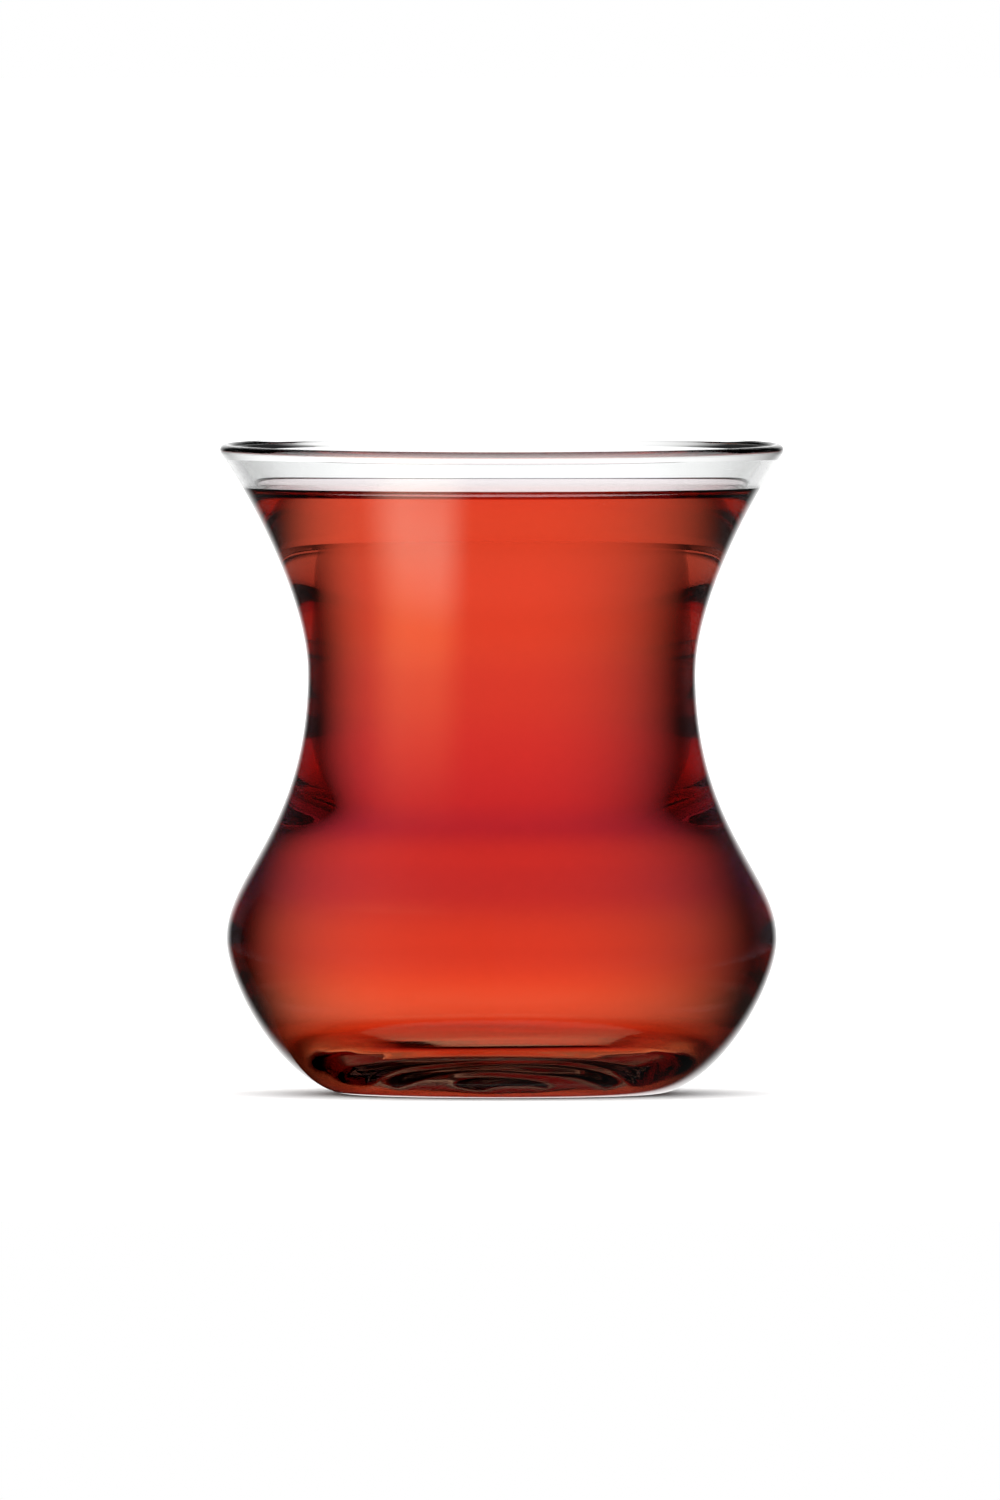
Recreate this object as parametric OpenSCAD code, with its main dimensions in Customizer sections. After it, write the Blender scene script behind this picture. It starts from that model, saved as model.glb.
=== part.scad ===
// Turkish tea glass filled with tea: a waisted glass with a heavy base, and the tea standing in it.
// Millimetres. The origin is the centre of the foot's ring on the table and +Z is up.
// The glass's outside is three smooth spans, foot to belly, belly to waist and waist to lip.
// Each handle below says how far a span holds the direction it has at that end, as a share of
// the span's rise (of its reach outward, for the foot).

/* [Outside of the glass] */
// widest across the rim
rim_d = 66; // [50:0.5:90]
// table to the top of the rim
glass_h = 76; // [60:0.5:110]
// across the narrowest part of the waist
waist_d = 45.4; // [34:0.2:60]
// height of the narrowest part of the waist
waist_z = 49.2; // [40:0.2:64]
// across the widest part of the belly
belly_d = 64.4; // [46:0.2:84]
// height of the widest part of the belly
belly_z = 18.2; // [12:0.2:28]
// outer edge of the ring that stands on the table
foot_d = 35.2; // [24:0.2:44]
// the wall's slope just under the rim, in degrees above level
lip_angle = 54; // [45:1:90]
// handle at the foot
foot_handle = 0.51; // [0.1:0.01:0.9]
// handle below the belly
belly_handle_low = 0.31; // [0.1:0.01:0.9]
// handle above the belly
belly_handle_high = 0.25; // [0.1:0.01:0.9]
// handle below the waist
waist_handle_low = 0.59; // [0.1:0.01:0.9]
// handle above the waist
waist_handle_high = 0.35; // [0.1:0.01:0.9]
// handle under the rim
lip_handle = 0.18; // [0.1:0.01:0.9]

/* [Wall and base] */
// thickness of the rounded rim
lip_wall = 1.4; // [0.8:0.1:3]
// thickness at the waist
waist_wall = 1.6; // [0.8:0.1:4]
// thickness at the belly
belly_wall = 1.9; // [0.8:0.1:5]
// thickness of the floor above the foot's ring
floor_t = 7.8; // [2.2:0.1:12]
// across the flat middle of the floor
floor_d = 30; // [8:0.5:40]
// handle where the inside curves up from the flat of the floor
floor_handle = 0.5; // [0.1:0.01:0.9]
// handle where that curve meets the belly's inside
cup_handle = 0.42; // [0.1:0.01:0.9]
// width of the ring it stands on, around the hollow under the base
ring_w = 2.1; // [0.8:0.1:8]
// depth of the hollow under the base
punt_depth = 1.4; // [0.3:0.1:4]

/* [Tea] */
// top of the rim down to the flat of the tea
headspace = 5.3; // [3:0.1:30]
// how far the tea climbs where it meets the glass
meniscus_h = 0.9; // [0:0.1:2]
// how far from the glass that climb reaches
meniscus_w = 1.5; // [0.5:0.1:4]
// clearance between the tea and the glass
fill_gap = 0.05; // [0.02:0.01:0.3]

/* [Hidden] */
turn_fn = 160;
span_steps = 18;
lip_steps = 8;
punt_steps = 8;
meniscus_steps = 6;
min_wall = 0.6;

rim_r = rim_d / 2;
waist_r = waist_d / 2;
belly_r = belly_d / 2;
foot_r = foot_d / 2;
floor_r = floor_d / 2;
punt_r = foot_r - ring_w;
lip_r = lip_wall / 2;
tea_z = glass_h - headspace;

// the lip is a half round between the two sides of the wall
lip_dir = [cos(lip_angle), sin(lip_angle)];
lip_out = [sin(lip_angle), -cos(lip_angle)];
lip_mid = [rim_r - lip_r, glass_h - lip_r];
lip_foot = lip_mid + lip_r * lip_out;

// a span is its two ends and the two handle points between them, as [radius, height]
foot_span = [
  [foot_r, 0],
  [foot_r + foot_handle * (belly_r - foot_r), 0],
  [belly_r, belly_z * (1 - belly_handle_low)],
  [belly_r, belly_z]
];
body_rise = waist_z - belly_z;
body_span = [
  [belly_r, belly_z],
  [belly_r, belly_z + belly_handle_high * body_rise],
  [waist_r, waist_z - waist_handle_low * body_rise],
  [waist_r, waist_z]
];
flare_rise = lip_foot[1] - waist_z;
flare_span = [
  [waist_r, waist_z],
  [waist_r, waist_z + waist_handle_high * flare_rise],
  lip_foot - lip_handle * flare_rise * lip_dir,
  lip_foot
];
cup_rise = belly_z - floor_t;
cup_span = [
  [floor_r, floor_t],
  [floor_r + floor_handle * (belly_r - belly_wall - floor_r), floor_t],
  [belly_r - belly_wall, belly_z - cup_handle * cup_rise],
  [belly_r - belly_wall, belly_z]
];

assert(lip_wall >= min_wall && waist_wall >= min_wall && belly_wall >= min_wall, "a wall is under 0.6 mm");
assert(waist_r < belly_r && waist_r < rim_r, "the waist must be narrower than the belly and the rim");
assert(belly_z < waist_z && waist_z < lip_foot[1], "belly, waist and rim must follow in that order");
assert(punt_r > 0, "the ring must leave room for the hollow under the base");
assert(punt_depth + min_wall < floor_t && floor_t < belly_z, "the floor must clear the hollow");
assert(floor_r + belly_wall < belly_r, "the floor must fit inside the belly");
assert(headspace > lip_wall + meniscus_h && tea_z > floor_t, "the tea must stand below the rim");

function mix(a, b, t) = a + (b - a) * t;
function ease(t) = t * t * (3 - 2 * t);
function at(s, t) = pow(1 - t, 3) * s[0] + 3 * pow(1 - t, 2) * t * s[1]
  + 3 * (1 - t) * t * t * s[2] + pow(t, 3) * s[3];
function along(s, t) = pow(1 - t, 2) * (s[1] - s[0]) + 2 * (1 - t) * t * (s[2] - s[1]) + t * t * (s[3] - s[2]);
function outward(s, t) = let (d = along(s, t)) [d[1], -d[0]] / norm(d);

// points up a span, shifted inward by a wall that eases from one thickness to the other
function side(s, wall_low, wall_high, from = 0) = [
  for (i = [from : span_steps])
    let (t = i / span_steps)
    at(s, t) - mix(wall_low, wall_high, ease(t)) * outward(s, t)
];
function reverse(list) = [for (i = [len(list) - 1 : -1 : 0]) list[i]];

// the inside of the glass from the floor to the lip, drawn in by a clearance
function inside(gap) = concat(
  side(cup_span, gap, gap),
  side(body_span, belly_wall + gap, waist_wall + gap, 1),
  side(flare_span, waist_wall + gap, lip_wall + gap, 1)
);
function lip_arc() = [
  for (i = [1 : lip_steps - 1])
    let (a = lip_angle - 90 + 180 * i / lip_steps)
    lip_mid + lip_r * [cos(a), sin(a)]
];
// a shallow dome from the middle out to the ring
function punt_arc() = [
  for (i = [0 : punt_steps])
    let (u = i / punt_steps)
    [punt_r * u, punt_depth * (1 - u * u)]
];

module glass_outline() {
  polygon(concat(
    punt_arc(),
    side(foot_span, 0, 0),
    side(body_span, 0, 0, 1),
    side(flare_span, 0, 0, 1),
    lip_arc(),
    reverse(inside(0)),
    [[0, floor_t]]
  ));
}

// height of the tea's surface a distance in from the glass
function tea_top(d) = d >= meniscus_w ? 0 : meniscus_h * pow(1 - d / meniscus_w, 2.5);
// radius of a wall's outline at a height, from the point pair that straddles it
function radius_at(points, z) = [
  for (i = [0 : len(points) - 2])
    let (p = points[i], q = points[i + 1])
    if (p[1] <= z && z < q[1])
      mix(p[0], q[0], (z - p[1]) / (q[1] - p[1]))
][0];

module tea_outline() {
  wall = inside(fill_gap);
  climb_z = tea_z + meniscus_h;
  climb_r = radius_at(wall, climb_z);
  surface = [
    for (i = [0 : meniscus_steps])
      let (d = meniscus_w * pow(i / meniscus_steps, 1.6))
      [climb_r - d, tea_z + tea_top(d)]
  ];
  polygon(concat(
    [[0, floor_t + fill_gap]],
    [for (p = wall) if (p[1] < climb_z - 0.02) p],
    surface,
    [[0, tea_z]]
  ));
}

module glass() {
  color([0.9, 0.93, 0.93, 0.4])
    rotate_extrude($fn = turn_fn)
      glass_outline();
}

module tea() {
  color([0.72, 0.2, 0.08, 0.9])
    rotate_extrude($fn = turn_fn)
      tea_outline();
}

glass();
tea();
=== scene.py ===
"""Looks of the Turkish tea glass filled with tea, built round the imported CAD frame.

Metres, in the CAD model's frame: origin on the table under the glass, +Z up.
"""

import math

import bmesh
import bpy
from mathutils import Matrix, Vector, noise


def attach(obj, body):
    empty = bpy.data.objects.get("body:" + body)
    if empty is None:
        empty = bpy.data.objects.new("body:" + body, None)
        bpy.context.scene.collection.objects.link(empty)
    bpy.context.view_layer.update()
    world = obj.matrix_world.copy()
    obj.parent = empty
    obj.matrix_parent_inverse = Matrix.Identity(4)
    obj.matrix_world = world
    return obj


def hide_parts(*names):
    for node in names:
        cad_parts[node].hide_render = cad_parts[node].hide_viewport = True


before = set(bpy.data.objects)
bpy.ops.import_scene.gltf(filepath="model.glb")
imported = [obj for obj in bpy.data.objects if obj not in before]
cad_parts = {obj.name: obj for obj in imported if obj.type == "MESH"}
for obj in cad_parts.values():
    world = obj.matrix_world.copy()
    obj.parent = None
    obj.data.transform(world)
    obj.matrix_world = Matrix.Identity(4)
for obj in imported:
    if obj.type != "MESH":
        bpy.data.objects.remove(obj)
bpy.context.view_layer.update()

MM = 0.001
WELD = 1e-6

# lathes
SEGMENTS = 224
PROFILE_STEP = 0.62 * MM
CORNER_DEG = 24
FLAT_TOL = 0.002 * MM
TEA_INTO_WALL = 0.13 * MM

# unevenness of the pressed floor, which fades out up the wall: RIPPLE_RATE is its change per metre of radius
RIPPLE_REACH = 5 * MM
RIPPLE_TURN = 1.3
RIPPLE_RATE = 300
RIPPLE_BEND = 2.2
RIPPLE_SWELL = 1.2
RIPPLE_PITCH = 3.2 * MM
RIPPLE_DEPTH = 0.012 * MM

# the rounded lip bends light less than the body
GLASS_IOR = 1.5
LIP_IOR = 1.12
LIP_DEPTH = 0.8 * MM

# faint haze and waviness of the glass
HAZE_SCALE = 60
HAZE_ROUGHNESS = 0.012
WAVE_SCALE = 45
WAVE_STRENGTH = 0.06
WAVE_DEPTH = 0.3 * MM

# the glass's colour at heights above the table: clear with a faint tint from 10 mm up, and below that
# painted shade that darkens the thick heel, with painted tea-coloured light in it
GLASS_TINT_AND_PAINTED_HEEL_SHADE = [
    (1.5 * MM, (0.28, 0.27, 0.26)),
    (4 * MM, (0.22, 0.13, 0.1)),
    (6 * MM, (0.5, 0.22, 0.14)),
    (8 * MM, (0.9, 0.38, 0.2)),
    (10 * MM, (0.985, 0.992, 0.99)),
]

# the tea's body, which absorbs light
TEA_IOR = 1.333
TEA_COLOUR = (0.95, 0.5, 0.32)
TEA_DENSITY = 100

# painted shade on the tea at heights above the table: darkest and reddest from about 24 to 47 mm, warmer and
# darker at the floor, almost none at 13 mm and lighter towards the top
TEA_PAINTED_SHADE = [
    (7.6 * MM, (0.9, 0.52, 0.36)),
    (8.8 * MM, (0.85, 0.52, 0.36)),
    (13 * MM, (1.0, 1.0, 0.94)),
    (18 * MM, (0.83, 0.73, 1.0)),
    (24 * MM, (0.48, 0.21, 0.98)),
    (30 * MM, (0.66, 0.23, 0.62)),
    (38 * MM, (0.73, 0.24, 0.42)),
    (47 * MM, (0.77, 0.31, 0.37)),
    (56 * MM, (0.84, 0.42, 0.39)),
    (64 * MM, (0.9, 0.64, 0.67)),
    (70 * MM, (0.88, 0.82, 0.84)),
]

# studio, in degrees: where a field starts, is full, fades again and is gone
BACKDROP_SIDES = (-46, -2, 12, 50)
BACKDROP_MIRRORED = (-24, -6, 6, 24)
BACKDROP_SPAN = (-70, -50, 30, 48)
MIRRORED_SPAN = (-24, -16, 30, 48)
BACKDROP_LEVEL = 1.2
AROUND_SIDES = (68, 94, 181, 182)
AROUND_SPAN = (-75, -55, 35, 60)
AROUND_LEVEL = 0.6
ROOM_LEVEL = 0.02
FLOOR_LIGHT = 2.2

# softbox in front and to the left, seen only where the glass mirrors it
SOFTBOX_SIDES = (-162, -137, -120, -90)
SOFTBOX_SPAN = (-85, -45, -45, 55)
SOFTBOX_LEVEL = 3.4
SOFTBOX_FOOT = (1.0, 0.95, 0.72)
SOFTBOX_HEAD = (1.0, 0.45, 0.16)
SOFTBOX_TURN = (-52, -24)

# black card under and round the belly, which keeps the softbox off it: its section and how far round it goes
CARD_SECTION = [(19 * MM, 0.1 * MM), (45 * MM, 0.1 * MM), (45 * MM, 32 * MM)]
CARD_SIDES = (-178, -80)
CARD_STEPS = 24

# floor
FLOOR_RADIUS = 4.0
FLOOR_SEGMENTS = 96
FLOOR_GRAIN = 25
FLOOR_SHADES = (0.9, 0.92)

# camera
VIEW_HEIGHT = 0.1754
VIEW_ELEVATION = 1.7
VIEW_AIM = Vector((-0.0002, 0.0, 0.0402))
VIEW_DISTANCE = 0.6
BOUNCES = 24
MIRROR_BOUNCES = 8


# ---------------------------------------------------------------- profiles

def meridian(node):
    """The CAD node's outline as (radius, height), from the middle of its underside to that of its top."""
    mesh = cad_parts[node].data
    points = {}
    for vertex in mesh.vertices:
        x, y, z = vertex.co
        if abs(y) < WELD and x > -WELD:
            points[vertex.index] = (max(round(x, 7), 0.0), round(z, 7))
    links = {}
    for edge in mesh.edges:
        a, b = (points.get(i) for i in edge.vertices)
        if a is None or b is None or a == b:
            continue
        links.setdefault(a, set()).add(b)
        links.setdefault(b, set()).add(a)
    ends = sorted((p for p in links if len(links[p]) == 1), key=lambda p: p[1])
    chain = [ends[0]]
    while len(chain) == 1 or len(links[chain[-1]]) > 1:
        chain.append(next(p for p in links[chain[-1]] if len(chain) == 1 or p != chain[-2]))
    if chain[0][0] > 0:
        chain.insert(0, (0.0, chain[0][1]))
    if chain[-1][0] > 0:
        chain.append((0.0, chain[-1][1]))
    return [Vector(p) for p in chain]


def drop_straight(points):
    """The same outline without the points that lie on a straight stretch."""
    kept = [points[0]]
    for here, ahead in zip(points[1:-1], points[2:]):
        span = ahead - kept[-1]
        step = here - kept[-1]
        if abs(span.x * step.y - span.y * step.x) > FLAT_TOL * span.length:
            kept.append(here)
    return kept + [points[-1]]


def turn(points, i):
    """How far the outline turns at point i, in degrees."""
    if i == 0 or i == len(points) - 1:
        return 180.0
    return math.degrees((points[i] - points[i - 1]).angle(points[i + 1] - points[i]))


def curve_through(points, step):
    """A smooth outline through the points, with a corner kept where it turns sharply."""
    out = []
    for i in range(len(points) - 1):
        p1, p2 = points[i], points[i + 1]
        p0 = points[i - 1] if turn(points, i) < CORNER_DEG else p1 + (p1 - p2)
        p3 = points[i + 2] if turn(points, i + 1) < CORNER_DEG else p2 + (p2 - p1)
        length = (p2 - p1).length
        m1 = ((p1 - p0) / (p1 - p0).length + (p2 - p1) / length).normalized() * length
        m2 = ((p2 - p1) / length + (p3 - p2) / (p3 - p2).length).normalized() * length
        count = max(1, round(length / step))
        for k in range(count):
            t = k / count
            out.append(
                (2 * t**3 - 3 * t**2 + 1) * p1 + (t**3 - 2 * t**2 + t) * m1
                + (3 * t**2 - 2 * t**3) * p2 + (t**3 - t**2) * m2
            )
    return out + [points[-1]]


def lathe(name, outline, lift=None, slot=None):
    """A closed solid of revolution.

    lift(radius, angle, index) moves a point up a little.
    slot(index) picks the material of a band of faces.
    """
    bm = bmesh.new()
    rings = []
    for i, p in enumerate(outline):
        if p.x < WELD:
            rings.append([bm.verts.new((0, 0, p.y + (lift(0, 0, i) if lift else 0)))])
            continue
        ring = []
        for k in range(SEGMENTS):
            a = 2 * math.pi * k / SEGMENTS
            z = p.y + (lift(p.x, a, i) if lift else 0)
            ring.append(bm.verts.new((p.x * math.cos(a), p.x * math.sin(a), z)))
        rings.append(ring)
    for i, (low, high) in enumerate(zip(rings, rings[1:])):
        for k in range(SEGMENTS):
            n = (k + 1) % SEGMENTS
            if len(low) == 1:
                face = (low[0], high[n], high[k])
            elif len(high) == 1:
                face = (low[k], low[n], high[0])
            else:
                face = (low[k], low[n], high[n], high[k])
            made = bm.faces.new(face)
            made.smooth = True
            made.material_index = slot(i) if slot else 0
    bmesh.ops.recalc_face_normals(bm, faces=bm.faces)
    mesh = bpy.data.meshes.new(name)
    bm.to_mesh(mesh)
    bm.free()
    obj = bpy.data.objects.new(name, mesh)
    bpy.context.scene.collection.objects.link(obj)
    return obj


# ---------------------------------------------------------------- node helpers

def new_material(name):
    material = bpy.data.materials.new(name)
    material.use_nodes = True
    tree = material.node_tree
    return material, tree, tree.nodes["Principled BSDF"]


def add(tree, kind, **settings):
    node = tree.nodes.new(kind)
    for key, value in settings.items():
        setattr(node, key, value)
    return node


def math_node(tree, operation, a, b=None, c=None):
    node = add(tree, "ShaderNodeMath", operation=operation)
    for socket, value in zip(node.inputs, (a, b, c)):
        if value is None:
            continue
        if isinstance(value, (int, float)):
            socket.default_value = value
        else:
            tree.links.new(value, socket)
    return node.outputs[0]


def fade(tree, value, start, end, low=0.0, high=1.0):
    """low before start, high after end, and an eased step between them."""
    node = add(tree, "ShaderNodeMapRange", interpolation_type="SMOOTHSTEP")
    tree.links.new(value, node.inputs["Value"])
    node.inputs["From Min"].default_value = start
    node.inputs["From Max"].default_value = end
    node.inputs["To Min"].default_value = low
    node.inputs["To Max"].default_value = high
    return node.outputs[0]


# ---------------------------------------------------------------- glass and tea

def tint_and_painted_shade_by_height(tree, coords, tints):
    """A colour that eases through the (height, colour) pairs: the glass's tint with painted shade on its
    heel, and painted shade on the tea.
    """
    parts = add(tree, "ShaderNodeSeparateXYZ")
    tree.links.new(coords.outputs["Object"], parts.inputs[0])
    tint = add(tree, "ShaderNodeValToRGB")
    ramp = tint.color_ramp
    ramp.interpolation = "EASE"
    while len(ramp.elements) < len(tints):
        ramp.elements.new(0.5)
    low, high = tints[0][0], tints[-1][0]
    for element, (height, colour) in zip(ramp.elements, tints):
        element.position = (height - low) / (high - low)
        element.color = (*colour, 1)
    share = math_node(tree, "DIVIDE", math_node(tree, "SUBTRACT", parts.outputs["Z"], low), high - low)
    tree.links.new(share, tint.inputs["Fac"])
    return tint.outputs["Color"]


def glass_material(name, edge_tint, ior):
    """Clear glass. edge_tint is 1 against air and 0 against tea, which hides the plain reflection."""
    material, tree, shader = new_material(name)
    shader.inputs["Transmission Weight"].default_value = 1.0
    shader.inputs["IOR"].default_value = ior
    shader.inputs["Specular Tint"].default_value = (edge_tint, edge_tint, edge_tint, 1)
    coords = add(tree, "ShaderNodeTexCoord")
    # clear glass above the heel; on the heel, painted shade and painted tea-coloured light by height
    tree.links.new(tint_and_painted_shade_by_height(tree, coords, GLASS_TINT_AND_PAINTED_HEEL_SHADE), shader.inputs["Base Color"])
    haze = add(tree, "ShaderNodeTexNoise")
    haze.inputs["Scale"].default_value = HAZE_SCALE
    haze.inputs["Detail"].default_value = 3
    tree.links.new(coords.outputs["Object"], haze.inputs["Vector"])
    roughness = fade(tree, haze.outputs["Fac"], 0.35, 0.8, 0.0, HAZE_ROUGHNESS)
    tree.links.new(roughness, shader.inputs["Roughness"])
    wave = add(tree, "ShaderNodeTexNoise")
    wave.inputs["Scale"].default_value = WAVE_SCALE
    wave.inputs["Detail"].default_value = 1
    tree.links.new(coords.outputs["Object"], wave.inputs["Vector"])
    bump = add(tree, "ShaderNodeBump")
    bump.inputs["Strength"].default_value = WAVE_STRENGTH
    bump.inputs["Distance"].default_value = WAVE_DEPTH
    tree.links.new(wave.outputs["Fac"], bump.inputs["Height"])
    tree.links.new(bump.outputs["Normal"], shader.inputs["Normal"])
    return material


def tea_material():
    material, tree, shader = new_material("black_tea")
    shader.inputs["Transmission Weight"].default_value = 1.0
    shader.inputs["IOR"].default_value = TEA_IOR
    shader.inputs["Roughness"].default_value = 0.0
    shader.inputs["Specular Tint"].default_value = (0, 0, 0, 1)
    coords = add(tree, "ShaderNodeTexCoord")
    # painted shade on the tea by height; the tea's own colour comes from the absorption below
    tree.links.new(tint_and_painted_shade_by_height(tree, coords, TEA_PAINTED_SHADE), shader.inputs["Base Color"])
    absorption = add(tree, "ShaderNodeVolumeAbsorption")
    absorption.inputs["Color"].default_value = (*TEA_COLOUR, 1)
    absorption.inputs["Density"].default_value = TEA_DENSITY
    output = tree.nodes["Material Output"]
    tree.links.new(absorption.outputs["Volume"], output.inputs["Volume"])
    return material


glass_outline = curve_through(drop_straight(meridian("glass")), PROFILE_STEP)
lip_index = max(range(len(glass_outline)), key=lambda i: glass_outline[i].y)
floor_z = glass_outline[-1].y


def floor_ripple(radius, angle, index):
    """Low rings and dips that pressing leaves on the inside of the floor."""
    if index < lip_index:
        return 0.0
    z = glass_outline[index].y
    amount = max(0.0, 1 - (z - floor_z) / RIPPLE_REACH) ** 2
    if amount <= 0:
        return 0.0
    across = math.cos(angle) * RIPPLE_TURN
    along = math.sin(angle) * RIPPLE_TURN
    swirl = noise.noise(Vector((across, along, radius * RIPPLE_RATE)))
    rings = math.sin(2 * math.pi * radius / RIPPLE_PITCH + RIPPLE_BEND * swirl)
    return amount * RIPPLE_DEPTH * (rings + RIPPLE_SWELL * swirl)


tea_points = drop_straight(meridian("tea"))
top_index = max(range(len(tea_points)), key=lambda i: tea_points[i].y)
tea_edge_z = tea_points[top_index].y


def glass_slot(index):
    """Which of the glass's materials a band takes: 0 the dry faces, 1 the wetted inside and 2 the lip."""
    if glass_outline[index].y > glass_outline[lip_index].y - LIP_DEPTH:
        return 2
    return int(index >= lip_index and glass_outline[index].y < tea_edge_z)


glass = lathe("tea_glass", glass_outline, floor_ripple, glass_slot)
glass.data.materials.append(glass_material("clear_glass", 1.0, GLASS_IOR))
glass.data.materials.append(glass_material("wetted_glass", 0.0, GLASS_IOR))
glass.data.materials.append(glass_material("lip_glass", 1.0, LIP_IOR))
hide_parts("glass")
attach(glass, "root")

grown = []
for i, p in enumerate(tea_points):
    if i == 0:
        grown.append(p - Vector((0, TEA_INTO_WALL)))
    elif i <= top_index:
        along = (tea_points[min(i + 1, top_index)] - tea_points[i - 1]).normalized()
        out = Vector((along.y, -along.x))
        grown.append(p + TEA_INTO_WALL * out)
    else:
        grown.append(p)
tea = lathe("tea_drink", curve_through(grown, PROFILE_STEP))
tea.data.materials.append(tea_material())
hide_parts("tea")
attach(tea, "root")


# ---------------------------------------------------------------- floor

def floor_material():
    material, tree, shader = new_material("pale_floor")
    coords = add(tree, "ShaderNodeTexCoord")
    grain = add(tree, "ShaderNodeTexNoise")
    grain.inputs["Scale"].default_value = FLOOR_GRAIN
    tree.links.new(coords.outputs["Object"], grain.inputs["Vector"])
    tree.links.new(fade(tree, grain.outputs["Fac"], 0.3, 0.7, *FLOOR_SHADES), shader.inputs["Base Color"])
    shader.inputs["Roughness"].default_value = 1.0
    shader.inputs["Specular IOR Level"].default_value = 0.0
    return material


def add_floor():
    bm = bmesh.new()
    bmesh.ops.create_circle(bm, cap_ends=True, radius=FLOOR_RADIUS, segments=FLOOR_SEGMENTS)
    mesh = bpy.data.meshes.new("floor")
    bm.to_mesh(mesh)
    bm.free()
    obj = bpy.data.objects.new("floor", mesh)
    bpy.context.scene.collection.objects.link(obj)
    obj.data.materials.append(floor_material())
    obj.visible_glossy = False
    obj.visible_transmission = False


add_floor()


# ---------------------------------------------------------------- studio light

def field(tree, across, along, sides, span, strength):
    """A soft bright field. sides and span say where it starts, is full, fades again and is gone."""
    level = strength
    for value, edges in ((across, sides), (along, span)):
        start, full, fading, gone = edges
        level = math_node(tree, "MULTIPLY", fade(tree, value, start, full), level)
        level = math_node(tree, "MULTIPLY", fade(tree, value, fading, gone, 1.0, 0.0), level)
    return level


def in_degrees(tree, value):
    return math_node(tree, "MULTIPLY", value, math.degrees(1))


def between(tree, factor, plain, other):
    """plain where the factor is 0 and other where it is 1."""
    mix = add(tree, "ShaderNodeMix", data_type="FLOAT")
    for name, value in (("Factor", factor), ("A", plain), ("B", other)):
        socket = mix.inputs[name]
        if isinstance(value, (int, float)):
            socket.default_value = value
        else:
            tree.links.new(value, socket)
    return mix.outputs["Result"]


def add_studio():
    """The world's light fields round the glass, in a dark room, and what the camera sees of them."""
    world = bpy.data.worlds.new("studio")
    world.use_nodes = True
    bpy.context.scene.world = world
    tree = world.node_tree
    coords = add(tree, "ShaderNodeTexCoord")
    parts = add(tree, "ShaderNodeSeparateXYZ")
    tree.links.new(coords.outputs["Generated"], parts.inputs[0])
    x, y, z = parts.outputs
    # round from straight back to the right, and up from level
    azimuth = in_degrees(tree, math_node(tree, "ARCTAN2", x, y))
    elevation = in_degrees(tree, math_node(tree, "ARCSINE", z))

    backdrop = field(tree, azimuth, elevation, BACKDROP_SIDES, BACKDROP_SPAN, BACKDROP_LEVEL)
    # the same again round the other sides, which the tea hides from the camera
    side = math_node(tree, "ABSOLUTE", azimuth)
    around = field(tree, side, elevation, AROUND_SIDES, AROUND_SPAN, AROUND_LEVEL)
    backdrop = math_node(tree, "ADD", backdrop, around)
    mirrored = field(tree, azimuth, elevation, BACKDROP_MIRRORED, MIRRORED_SPAN, BACKDROP_LEVEL)
    softbox = field(tree, azimuth, elevation, SOFTBOX_SIDES, SOFTBOX_SPAN, SOFTBOX_LEVEL)
    path = add(tree, "ShaderNodeLightPath")
    total = between(tree, path.outputs["Is Reflection Ray"], backdrop, mirrored)
    total = math_node(tree, "ADD", total, ROOM_LEVEL)
    total = between(tree, path.outputs["Is Diffuse Ray"], total, FLOOR_LIGHT)
    total = between(tree, path.outputs["Is Camera Ray"], total, 1.0)
    softbox = math_node(tree, "MULTIPLY", softbox, path.outputs["Is Reflection Ray"])
    # the softbox is white at its foot and warm from there up
    colour = add(tree, "ShaderNodeCombineColor")
    for socket, low, high in zip(colour.inputs, SOFTBOX_FOOT, SOFTBOX_HEAD):
        shade = math_node(tree, "MULTIPLY", softbox, fade(tree, elevation, *SOFTBOX_TURN, low, high))
        tree.links.new(math_node(tree, "ADD", total, shade), socket)
    tree.links.new(colour.outputs[0], tree.nodes["Background"].inputs["Color"])


def add_card():
    """A curved black card in front of the belly."""
    bm = bmesh.new()
    rows = []
    for radius, z in CARD_SECTION:
        row = []
        for k in range(CARD_STEPS + 1):
            a = math.radians(CARD_SIDES[0] + (CARD_SIDES[1] - CARD_SIDES[0]) * k / CARD_STEPS)
            row.append(bm.verts.new((radius * math.sin(a), radius * math.cos(a), z)))
        rows.append(row)
    for low, high in zip(rows, rows[1:]):
        for k in range(CARD_STEPS):
            bm.faces.new((low[k], low[k + 1], high[k + 1], high[k]))
    mesh = bpy.data.meshes.new("black_card")
    bm.to_mesh(mesh)
    bm.free()
    obj = bpy.data.objects.new("black_card", mesh)
    bpy.context.scene.collection.objects.link(obj)
    material, tree, shader = new_material("black_felt")
    shader.inputs["Base Color"].default_value = (0, 0, 0, 1)
    shader.inputs["Specular IOR Level"].default_value = 0.0
    mesh.materials.append(material)
    obj.visible_camera = False
    obj.visible_diffuse = False
    obj.visible_transmission = False
    obj.visible_shadow = False


add_studio()
add_card()


# ---------------------------------------------------------------- camera

def add_camera():
    data = bpy.data.cameras.new("camera")
    data.type = "ORTHO"
    data.ortho_scale = VIEW_HEIGHT
    data.clip_end = 20
    camera = bpy.data.objects.new("camera", data)
    bpy.context.scene.collection.objects.link(camera)
    tilt = math.radians(VIEW_ELEVATION)
    away = Vector((0, -math.cos(tilt), math.sin(tilt)))
    camera.location = VIEW_AIM + VIEW_DISTANCE * away
    camera.rotation_euler = (-away).to_track_quat("-Z", "Y").to_euler()
    bpy.context.scene.camera = camera


add_camera()

scene = bpy.context.scene
scene.view_settings.view_transform = "Standard"
scene.view_settings.look = "None"
scene.cycles.max_bounces = BOUNCES
scene.cycles.transmission_bounces = BOUNCES
scene.cycles.glossy_bounces = MIRROR_BOUNCES

bpy.context.view_layer.update()
